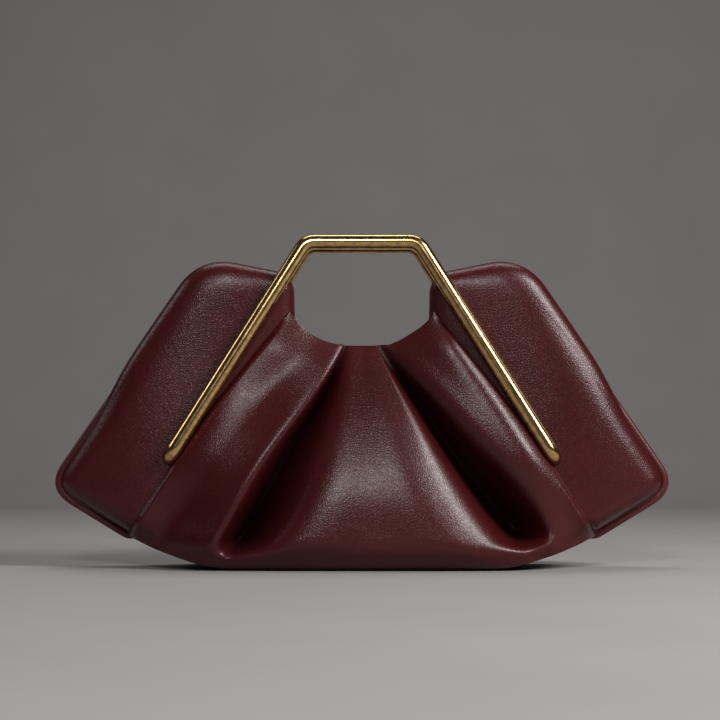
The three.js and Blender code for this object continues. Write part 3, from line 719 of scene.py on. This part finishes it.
    def beaded(self, skin: np.ndarray) -> np.ndarray:
        """The face with a folded edge along each wing.

        The fold is a height over the distance from the edge: an ease up over its first stretch and an ease back down
        over a longer one. It fades out towards the rim and where the edge turns under at the foot.

        Args:
            skin: rows by columns by four.

        Returns:
            The same grid, moved along Y.
        """
        steps = np.linalg.norm(np.diff(skin[:, :, :3], axis=1), axis=2)
        from_left = np.concatenate([np.zeros((len(skin), 1)), np.cumsum(steps, axis=1)], axis=1)
        to_edge = np.minimum(from_left, from_left[:, -1:] - from_left)
        height = smoothstep(to_edge, 0, self.bead_rise) * (1 - smoothstep(to_edge, self.bead_rise, self.bead_fall))
        down = np.linspace(0, 1, len(skin))
        strength = smoothstep(down, 0, 0.12) * (1 - smoothstep(down, 0.9, 1))
        out = skin.copy()
        out[:, :, 1] -= self.bead * height * strength[:, None]
        return out

    def build(self) -> bpy.types.Object:
        """Makes the panel and stands it for its node."""
        skin = self.surface()
        points = skin[:, :, :3] * np.array([1, -self.face.value, 1])
        rows, columns = points.shape[:2]
        quads = grid_faces(rows, columns, wrap=False)
        piece = make_object(self.name, points.reshape(-1, 3), quads, flip=self.face is Face.FRONT)
        # Painted shade: the valley share goes into the attribute that darkens the leather in the folds.
        depth = piece.data.attributes.new("fold_shade", "FLOAT", "POINT")
        depth.data.foreach_set("value", np.clip(skin[:, :, 3], 0, 1).astype(np.float32).ravel())
        self.wall(piece, BAG.leather)
        face = self.face.name.lower()
        self.finish(piece, f"centre_panel_{face}", f"pleat_{face}_left", f"pleat_{face}_right")
        return piece


@dataclass
class Wing(Piece):
    """One padded wing: a rolled lip round its outer edge and a puffed face that runs under the pleat."""

    face: Face = Face.FRONT
    side: Side = Side.RIGHT
    lip_rings: int = 8
    rings: int = 60
    crowding: float = 1.9
    wall_share: float = 0.8

    def surface(self) -> np.ndarray:
        """The outer face as a grid from the seam over the lip to the hidden edge under the pleat.

        Each column starts on the outline and runs towards its partner on the hidden edge. Its first rows wrap the
        piping, the next follow the lip's roll and the rest the puffed face, whose depth is a function of place.

        Returns:
            Rings by outline points by three, for the front right wing.
        """
        edge = EDGE
        count = len(edge)
        way_down = np.linspace(0, 1, count)
        partner = 0.045 + 0.9 * smoothstep(way_down, -0.02, 1.02)
        px, pz = pleat_line(partner)
        start = np.array([BAG.notch_half, BAG.rim_corner])
        chord = np.array([BAG.foot_half, BAG.foot_height]) - start
        chord /= np.linalg.norm(chord)
        target = np.stack([px, pz], 1) - np.array([-chord[1], chord[0]]) * BAG.wing_lap
        way = target - edge[:, :2]
        reach = np.linalg.norm(way, axis=1, keepdims=True)
        way = way / reach
        square = np.maximum((way * edge[:, 6:8]).sum(1, keepdims=True), 0.45)
        lip = edge[:, 2:3] * BAG.pipe
        tuck = np.maximum(BAG.pipe + 7 * BAG.gap, lip + 2 * BAG.gap)
        seam = lerp(BAG.gap, BAG.mouth_half, edge[:, 5:6])
        lip_deep = edge[:, 3:4] * BAG.lip_depth
        rows = []
        for u in np.linspace(0, 1, self.lip_rings + 1)[:-1]:
            inset = lerp(tuck, lip, u ** 0.8)
            deep = lerp(seam, lip_deep, u ** 0.85)
            place = edge[:, :2] + way * np.minimum(inset / square, reach * 0.6)
            rows.append(np.stack([place[:, 0], -deep[:, 0], place[:, 1]], 1))
        for u in np.linspace(0, 1, self.rings):
            inset = np.minimum(lip / square, reach * 0.5)
            place = edge[:, :2] + way * (inset + (reach - inset) * u ** self.crowding)
            deep = WING.depth(place[:, 0], place[:, 1], edge)
            rows.append(np.stack([place[:, 0], -deep, place[:, 1]], 1))
        return np.array(rows)

    def build(self) -> bpy.types.Object:
        """Makes the wing and stands it for its node."""
        sign = np.array([self.side.value, -self.face.value, 1])
        points = self.surface() * sign
        quads = grid_faces(points.shape[0], points.shape[1], wrap=False)
        piece = make_object(self.name, points.reshape(-1, 3), quads, flip=sign[0] * sign[1] < 0)
        self.wall(piece, BAG.leather * self.wall_share)
        self.finish(piece, f"wing_{self.face.name.lower()}_{self.side.name.lower()}")
        return piece


def carried_round(path: np.ndarray, radius: np.ndarray, sides: int) -> np.ndarray:
    """A round profile carried along a path without twist.

    Args:
        path: places of the centre line.
        radius: one radius for each place.
        sides: points in a ring.

    Returns:
        Rings by sides by three.
    """
    along = np.gradient(path, axis=0)
    along /= np.linalg.norm(along, axis=1, keepdims=True)
    up = np.empty_like(path)
    first = np.array([1.0, 0.3, 0.2])
    for i, tangent in enumerate(along):
        first = first - tangent * (first @ tangent)
        first /= np.linalg.norm(first)
        up[i] = first
    across = np.cross(along, up)
    angle = np.linspace(0, 2 * math.pi, sides, endpoint=False)
    ring = up[:, None, :] * np.cos(angle)[None, :, None] + across[:, None, :] * np.sin(angle)[None, :, None]
    return path[:, None, :] + ring * radius[:, None, None]


def close_ends(piece: bpy.types.Object) -> None:
    """Fills the open ring at each end of a tube and turns every face outwards."""
    mesh = bmesh.new()
    mesh.from_mesh(piece.data)
    rims = [edge for edge in mesh.edges if edge.is_boundary]
    made = bmesh.ops.holes_fill(mesh, edges=rims, sides=0)["faces"]
    for face in made:
        face.smooth = True
    bmesh.ops.recalc_face_normals(mesh, faces=mesh.faces)
    mesh.to_mesh(piece.data)
    mesh.free()


def rounded_path(corners: np.ndarray, bends: np.ndarray, step: float) -> np.ndarray:
    """Straight runs joined by circular arcs.

    Args:
        corners: places of the corners and of both ends.
        bends: arc radius at each corner, 0 at the ends.
        step: spacing of the points in millimetres.

    Returns:
        Places along the path.
    """
    pieces = [corners[:1]]
    for i in range(1, len(corners) - 1):
        back = corners[i - 1] - corners[i]
        on = corners[i + 1] - corners[i]
        back, on = back / np.linalg.norm(back), on / np.linalg.norm(on)
        half = math.acos(float(np.clip(back @ on, -1, 1))) / 2
        centre = corners[i] + (back + on) / np.linalg.norm(back + on) * bends[i] / math.sin(half)
        a = corners[i] + back * bends[i] / math.tan(half) - centre
        b = corners[i] + on * bends[i] / math.tan(half) - centre
        turn = math.pi - 2 * half
        angle = np.linspace(0, turn, 14)[:, None]
        normal = (b - a * math.cos(turn)) / math.sin(turn)
        pieces.append(centre + a * np.cos(angle) + normal * np.sin(angle))
    pieces.append(corners[-1:])
    path = np.vstack(pieces)
    length = np.concatenate([[0], np.cumsum(np.linalg.norm(np.diff(path, axis=0), axis=1))])
    at = np.unique(np.concatenate([length, np.arange(0, length[-1], step)]))
    at = at[np.concatenate([[True], np.diff(at) > step * 0.2])]
    return np.stack([np.interp(at, length, path[:, k]) for k in range(3)], axis=1)


@dataclass
class Handle(Piece):
    """A bent tube: a bar above the hand opening, two legs over the wings and feet that turn back into them."""

    face: Face = Face.FRONT
    tube: float = 8.4
    bar_height: float = 186.0
    bar_half: float = 32.0
    foot_half: float = 108.8
    foot_height: float = 62.8
    bar_bend: float = 9.0
    foot_bend: float = 6.5
    leg_air: float = 3.0
    bar_air: float = 0.8
    held: float = 1.5
    sides: int = 40
    cap: float = 0.02

    def path(self) -> np.ndarray:
        """The centre line, in one leaning plane between the feet."""
        foot_face = float(WING.depth(np.array([self.foot_half]), np.array([self.foot_height]), EDGE)[0])
        foot_deep = foot_face + self.leg_air + self.tube / 2
        bar_deep = BAG.wing_puff * WING.face_inner[0] + self.bar_air + self.tube / 2
        inside = foot_face - BAG.leather - self.held
        corners = [(-self.foot_half, -inside, self.foot_height), (-self.foot_half, -foot_deep, self.foot_height),
                   (-self.bar_half, -bar_deep, self.bar_height), (self.bar_half, -bar_deep, self.bar_height),
                   (self.foot_half, -foot_deep, self.foot_height), (self.foot_half, -inside, self.foot_height)]
        bends = [0, self.foot_bend, self.bar_bend, self.bar_bend, self.foot_bend, 0]
        return rounded_path(np.array(corners), np.array(bends, dtype=float), 2.0)

    def build(self) -> bpy.types.Object:
        """Makes the tube, closes its ends and stands it for its node."""
        path = self.path()
        radius = np.full(len(path), self.tube / 2)
        rings = carried_round(path, radius, self.sides)
        caps = [path[:1, None, :] + (rings[:1] - path[:1, None, :]) * self.cap,
                path[-1:, None, :] + (rings[-1:] - path[-1:, None, :]) * self.cap]
        rings = np.concatenate([caps[0], rings, caps[1]])
        if self.face is Face.BACK:
            rings = rings * np.array([1, -1, 1])
        quads = grid_faces(rings.shape[0], rings.shape[1], wrap=True)
        piece = make_object(self.name, rings.reshape(-1, 3), quads, flip=self.face is Face.BACK)
        close_ends(piece)
        self.finish(piece, f"handle_{self.face.name.lower()}")
        return piece


@dataclass
class Piping(Piece):
    """The leather cord in one side seam."""

    side: Side = Side.RIGHT
    most_mouth: float = 0.3
    sides: int = 24

    def build(self) -> bpy.types.Object:
        """Carries a round profile along the closed part of the outline, half its width inside it."""
        run = EDGE[EDGE[:, 5] < self.most_mouth]
        place = run[:, :2] + run[:, 6:8] * BAG.pipe / 2
        path = np.stack([place[:, 0], np.zeros(len(place)), place[:, 1]], 1)
        taper = np.minimum(np.arange(len(path)), np.arange(len(path))[::-1]) / 3
        radius = BAG.pipe / 2 * np.sqrt(np.clip(taper, 0.02, 1))
        rings = carried_round(path, radius, self.sides) * np.array([self.side.value, 1, 1])
        quads = grid_faces(rings.shape[0], rings.shape[1], wrap=True)
        piece = make_object(self.name, rings.reshape(-1, 3), quads, flip=self.side is Side.LEFT)
        close_ends(piece)
        self.finish(piece, f"piping_{self.side.name.lower()}")
        return piece


@dataclass
class BasePanel(Piece):
    """The flat leather base, whose half depth falls from the middle to both tips with a fourth power."""

    tip: float = 84.0
    tip_share: float = 0.995
    weld_mm: float = 0.0002
    rows: int = 20
    columns: int = 160

    def build(self) -> bpy.types.Object:
        """Makes the panel with rounded cut edges, merges the points squeezed at its tips and stands it for its node."""
        x = self.tip * self.tip_share * np.sin(np.linspace(-1, 1, self.columns) * math.pi / 2)
        half = BAG.base_depth * (1 - np.abs(x / self.tip) ** 4)
        y = np.linspace(-1, 1, self.rows)[:, None] * half[None, :]
        points = np.stack(np.broadcast_arrays(x[None, :], y, np.zeros_like(y)), axis=2)
        quads = grid_faces(self.rows, self.columns, wrap=False)
        piece = make_object(self.name, points.reshape(-1, 3), quads, flip=True)
        self.wall(piece, BAG.leather)
        weld = piece.modifiers.new("tips", "WELD")
        weld.merge_threshold = self.weld_mm * MM
        self.finish(piece, "base_panel")
        return piece


@dataclass
class Studio:
    """A plain pale floor that curves up behind the bag, soft lights and the camera."""

    distance: float = 1250.0
    eye: float = 82.0
    width: float = 414.5
    centre_x: float = -1.1
    centre_z: float = 119.0
    floor_dark: tuple = (0.30, 0.29, 0.286)
    floor_light: tuple = (0.345, 0.334, 0.33)

    def floor(self) -> None:
        """A sweep: flat floor, a quarter-circle bend and a wall, as one surface."""
        flat = np.array([[-1500.0, 0.0]])
        turn = np.linspace(0, math.pi / 2, 24)
        bend = np.stack([900 + 600 * np.sin(turn), 600 - 600 * np.cos(turn)], 1)
        wall = np.array([[1500.0, 2600.0]])
        profile = np.vstack([flat, bend, wall])
        across = np.linspace(-3000, 3000, 9)
        grid = np.stack(np.broadcast_arrays(across[None, :], profile[:, :1], profile[:, 1:]), axis=2)
        quads = grid_faces(grid.shape[0], grid.shape[1], wrap=False)
        floor = make_object("studio_floor", grid.reshape(-1, 3), quads, flip=False)
        mat = bpy.data.materials.new("studio_floor")
        mat.use_nodes = True
        tree = mat.node_tree
        bsdf = tree.nodes["Principled BSDF"]
        mottle = object_noise(tree, 9, 6).outputs["Fac"]
        tree.links.new(blended(tree, self.floor_dark, self.floor_light, mottle), bsdf.inputs["Base Color"])
        bsdf.inputs["Roughness"].default_value = 0.7
        floor.data.materials.append(mat)

    def lamp(self, name: str, place: tuple, aim: tuple, size: tuple, power: float, colour: tuple) -> None:
        """A rectangular soft light.

        Args:
            name: the light's name.
            place: where it stands, in millimetres.
            aim: the point it faces.
            size: width and height in millimetres.
            power: watts.
            colour: linear colour.
        """
        data = bpy.data.lights.new(name, "AREA")
        data.shape = "RECTANGLE"
        data.size, data.size_y = size[0] * MM, size[1] * MM
        data.energy = power
        data.color = colour
        lamp = bpy.data.objects.new(name, data)
        place_v = np.array(place) * MM
        ahead = np.array(aim) * MM - place_v
        ahead /= np.linalg.norm(ahead)
        right = np.cross(ahead, [0, 0, 1])
        right /= np.linalg.norm(right)
        up = np.cross(right, ahead)
        matrix = np.eye(4)
        matrix[:3, 0], matrix[:3, 1], matrix[:3, 2], matrix[:3, 3] = right, up, -ahead, place_v
        lamp.matrix_world = Matrix(matrix.tolist())
        bpy.context.scene.collection.objects.link(lamp)

    def build(self) -> None:
        """Sets the floor, the world, the lights and the camera."""
        self.floor()
        world = bpy.data.worlds.new("studio")
        world.use_nodes = True
        world.node_tree.nodes["Background"].inputs["Color"].default_value = (0.30, 0.295, 0.29, 1)
        world.node_tree.nodes["Background"].inputs["Strength"].default_value = 0.1
        bpy.context.scene.world = world
        self.lamp("key", (830, -560, 740), (0, 0, 80), (320, 500), 13, (1, 0.97, 0.94))
        self.lamp("front", (-110, -1280, 720), (0, 0, 80), (280, 220), 6, (1, 0.98, 0.96))
        self.lamp("left", (-1250, 60, 860), (0, 0, 80), (380, 380), 1.6, (0.97, 0.98, 1))
        self.lamp("top", (0, 300, 1150), (0, 0, 60), (1000, 320), 4.5, (1, 0.98, 0.96))
        camera_data = bpy.data.cameras.new("camera")
        camera_data.sensor_width = 36
        camera_data.lens = 36 * self.distance / self.width
        camera_data.clip_end = 100
        camera = bpy.data.objects.new("camera", camera_data)
        camera.location = (self.centre_x * MM, -self.distance * MM, self.eye * MM)
        tilt = math.atan2(self.centre_z - self.eye, self.distance)
        camera.rotation_euler = (math.pi / 2 + tilt, 0, 0)
        bpy.context.scene.collection.objects.link(camera)
        bpy.context.scene.camera = camera
        bpy.context.scene.view_settings.view_transform = "Standard"


def main() -> None:
    """Builds the finishes, then each piece in order, then the studio."""
    logging.basicConfig(level=logging.INFO, format="%(name)s: %(message)s")
    leather = Leather("leather", (0.066, 0.007, 0.008), (0.047, 0.005, 0.006)).build()
    # Painted light: the cord's leather is a lighter copy of the bag's, standing in for light that the downward-facing
    # cord does not catch.
    piping = Leather("piping_leather", (0.105, 0.014, 0.0155), (0.08, 0.010, 0.012), roughness=0.34).build()
    brass = Brass().build()
    for face in Face:
        PleatedPanel(f"pleats_{face.name.lower()}", "leather", leather, face=face).build()
        Handle(f"bar_{face.name.lower()}", "brass", brass, face=face).build()
        for side in Side:
            Wing(f"padded_wing_{face.name.lower()}_{side.name.lower()}", "leather", leather, face=face,
                 side=side).build()
    for side in Side:
        Piping(f"cord_edge_{side.name.lower()}", "piping_leather", piping, side=side).build()
    BasePanel("flat_base", "leather", leather).build()
    Studio().build()
    bpy.context.view_layer.update()


if __name__ == "__main__":
    main()
